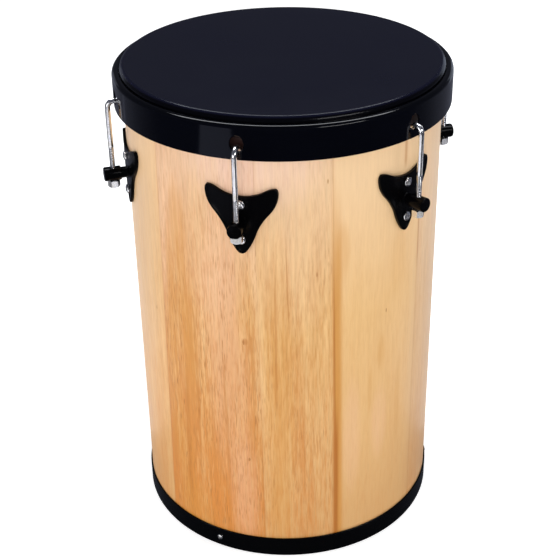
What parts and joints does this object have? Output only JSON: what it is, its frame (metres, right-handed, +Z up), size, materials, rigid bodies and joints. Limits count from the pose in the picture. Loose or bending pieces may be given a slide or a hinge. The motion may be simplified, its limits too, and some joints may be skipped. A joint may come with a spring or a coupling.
{
  "type": "rebolo drum",
  "caption": "Straight wooden hand drum on its open foot, with a black skin, a deep black counterhoop pulled down by hooks and nuts on shaped lugs, and a black foot band.",
  "frame": {"origin": "on the floor, under the middle of the shell", "axes": "+Z up along the shell's axis; -Y out through the first lug"},
  "size_m": [0.2996, 0.3306, 0.45],
  "materials": {
    "shell_wood": "satin lacquer over pale honey wood with fine pores",
    "skin": "matte blue-black synthetic skin",
    "flesh_ring": "mill finish",
    "hoop_black": "gloss black",
    "lug_black": "semi-gloss black",
    "bright_steel": "bright plated"
  },
  "bodies": {
    "drum": {"shell": "shell_wood", "head_skin": "skin", "flesh_hoop": "flesh_ring", "bottom_band": "hoop_black", "lug_plate_1": "lug_black", "lug_arm_1": "lug_black", "lug_plate_2": "lug_black", "lug_arm_2": "lug_black", "lug_plate_3": "lug_black", "lug_arm_3": "lug_black", "lug_plate_4": "lug_black", "lug_arm_4": "lug_black", "lug_plate_5": "lug_black", "lug_arm_5": "lug_black", "lug_plate_6": "lug_black", "lug_arm_6": "lug_black", "upper_screw_1": "bright_steel", "upper_screw_2": "bright_steel", "upper_screw_3": "bright_steel", "upper_screw_4": "bright_steel", "upper_screw_5": "bright_steel", "upper_screw_6": "bright_steel", "upper_screw_nut_1": "bright_steel", "upper_screw_nut_2": "bright_steel", "upper_screw_nut_3": "bright_steel", "upper_screw_nut_4": "bright_steel", "upper_screw_nut_5": "bright_steel", "upper_screw_nut_6": "bright_steel", "lower_screw_1": "bright_steel", "lower_screw_2": "bright_steel", "lower_screw_3": "bright_steel", "lower_screw_4": "bright_steel", "lower_screw_5": "bright_steel", "lower_screw_6": "bright_steel", "lower_screw_nut_1": "bright_steel", "lower_screw_nut_2": "bright_steel", "lower_screw_nut_3": "bright_steel", "lower_screw_nut_4": "bright_steel", "lower_screw_nut_5": "bright_steel", "lower_screw_nut_6": "bright_steel", "band_screw_1": "bright_steel", "band_screw_2": "bright_steel", "band_screw_3": "bright_steel"},
    "counterhoop_set": {"counterhoop": "hoop_black", "tension_hook_1": "bright_steel", "tension_hook_2": "bright_steel", "tension_hook_3": "bright_steel", "tension_hook_4": "bright_steel", "tension_hook_5": "bright_steel", "tension_hook_6": "bright_steel"},
    "tuning_nut_1": {"tuning_nut_1": "bright_steel"},
    "tuning_nut_2": {"tuning_nut_2": "bright_steel"},
    "tuning_nut_3": {"tuning_nut_3": "bright_steel"},
    "tuning_nut_4": {"tuning_nut_4": "bright_steel"},
    "tuning_nut_5": {"tuning_nut_5": "bright_steel"},
    "tuning_nut_6": {"tuning_nut_6": "bright_steel"}
  },
  "joints": [
    {"name": "hoop_lift", "type": "slide", "parent": "drum", "child": "counterhoop_set", "axis": [0, 0, 1], "range_m": [0, 0.004]},
    {"name": "nut_1_turn", "type": "hinge", "parent": "drum", "child": "tuning_nut_1", "pos_m": [0, -0.157, 0.3489], "axis": [0, 0, 1], "range_deg": [-1365, 0]},
    {"name": "nut_2_turn", "type": "hinge", "parent": "drum", "child": "tuning_nut_2", "pos_m": [0.13597, -0.0785, 0.3489], "axis": [0, 0, 1], "range_deg": [-1365, 0]},
    {"name": "nut_3_turn", "type": "hinge", "parent": "drum", "child": "tuning_nut_3", "pos_m": [0.13597, 0.0785, 0.3489], "axis": [0, 0, 1], "range_deg": [-1365, 0]},
    {"name": "nut_4_turn", "type": "hinge", "parent": "drum", "child": "tuning_nut_4", "pos_m": [0, 0.157, 0.3489], "axis": [0, 0, 1], "range_deg": [-1365, 0]},
    {"name": "nut_5_turn", "type": "hinge", "parent": "drum", "child": "tuning_nut_5", "pos_m": [-0.13597, 0.0785, 0.3489], "axis": [0, 0, 1], "range_deg": [-1365, 0]},
    {"name": "nut_6_turn", "type": "hinge", "parent": "drum", "child": "tuning_nut_6", "pos_m": [-0.13597, -0.0785, 0.3489], "axis": [0, 0, 1], "range_deg": [-1365, 0]}
  ],
  "couplings": [
    {"joint": "nut_1_turn", "follows": "hoop_lift", "rad_per_m": -5937.1},
    {"joint": "nut_2_turn", "follows": "hoop_lift", "rad_per_m": -5937.1},
    {"joint": "nut_3_turn", "follows": "hoop_lift", "rad_per_m": -5937.1},
    {"joint": "nut_4_turn", "follows": "hoop_lift", "rad_per_m": -5937.1},
    {"joint": "nut_5_turn", "follows": "hoop_lift", "rad_per_m": -5937.1},
    {"joint": "nut_6_turn", "follows": "hoop_lift", "rad_per_m": -5937.1}
  ]
}
